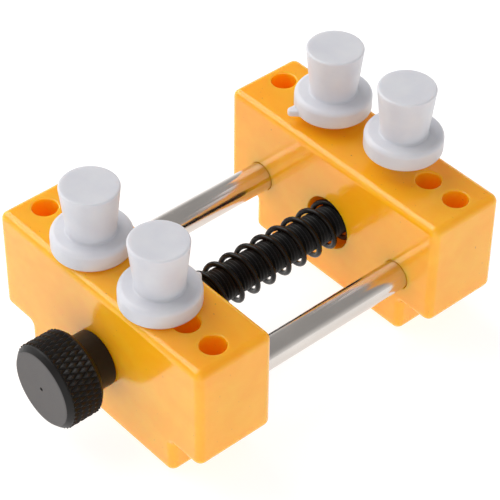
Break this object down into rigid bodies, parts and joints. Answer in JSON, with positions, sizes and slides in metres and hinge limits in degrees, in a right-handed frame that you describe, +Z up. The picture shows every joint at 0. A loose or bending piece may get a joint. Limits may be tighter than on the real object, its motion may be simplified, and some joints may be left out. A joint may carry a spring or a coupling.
{
  "type": "watch movement holder",
  "caption": "Small sprung screw vise with moulded plastic jaws on guide rods, whose lift-out pegs grip a watch movement by its rim.",
  "frame": {"origin": "middle of the base in X and Y, at the level of the jaws' feet", "axes": "+X along the jaws to the right as seen from the knob, +Y from the knob to the sliding jaw, +Z up"},
  "size_m": [0.058, 0.089, 0.049],
  "materials": {
    "jaw_plastic": "glossy moulded",
    "rod_plating": "polished plating",
    "black_steel": "oiled black oxide",
    "knob_steel": "satin black oxide, knurled",
    "spring_wire": "glossy black",
    "nut_steel": "zinc plated",
    "peg_plastic": "satin moulded, slightly translucent"
  },
  "bodies": {
    "front": {"front_jaw": "jaw_plastic", "guide_rod_left": "rod_plating", "guide_rod_right": "rod_plating", "spring": "spring_wire"},
    "rear": {"rear_jaw": "jaw_plastic", "jaw_nut": "nut_steel"},
    "screw": {"lead_screw": "black_steel", "knob": "knob_steel"},
    "peg_front_left": {"peg_front_left": "peg_plastic"},
    "peg_front_right": {"peg_front_right": "peg_plastic"},
    "peg_rear_left": {"peg_rear_left": "peg_plastic"},
    "peg_rear_right": {"peg_rear_right": "peg_plastic"}
  },
  "joints": [
    {"name": "knob_turn", "type": "hinge", "parent": "front", "child": "screw", "pos_m": [0, -0.03157, 0.0146], "axis": [0, 1, 0], "range_deg": [0, 17100]},
    {"name": "jaw_slide", "type": "slide", "parent": "front", "child": "rear", "axis": [0, -1, 0], "range_m": [0, 0.038], "deforming": ["spring"]},
    {"name": "peg_front_left_lift", "type": "slide", "parent": "front", "child": "peg_front_left", "axis": [0, 0, 1], "range_m": [0, 0.014]},
    {"name": "peg_front_right_lift", "type": "slide", "parent": "front", "child": "peg_front_right", "axis": [0, 0, 1], "range_m": [0, 0.014]},
    {"name": "peg_rear_left_lift", "type": "slide", "parent": "rear", "child": "peg_rear_left", "axis": [0, 0, 1], "range_m": [-0.0018, 0.0122]},
    {"name": "peg_rear_right_lift", "type": "slide", "parent": "rear", "child": "peg_rear_right", "axis": [0, 0, 1], "range_m": [-0.0035, 0.0105]}
  ],
  "couplings": [
    {"joint": "knob_turn", "follows": "jaw_slide", "rad_per_m": 7854}
  ]
}
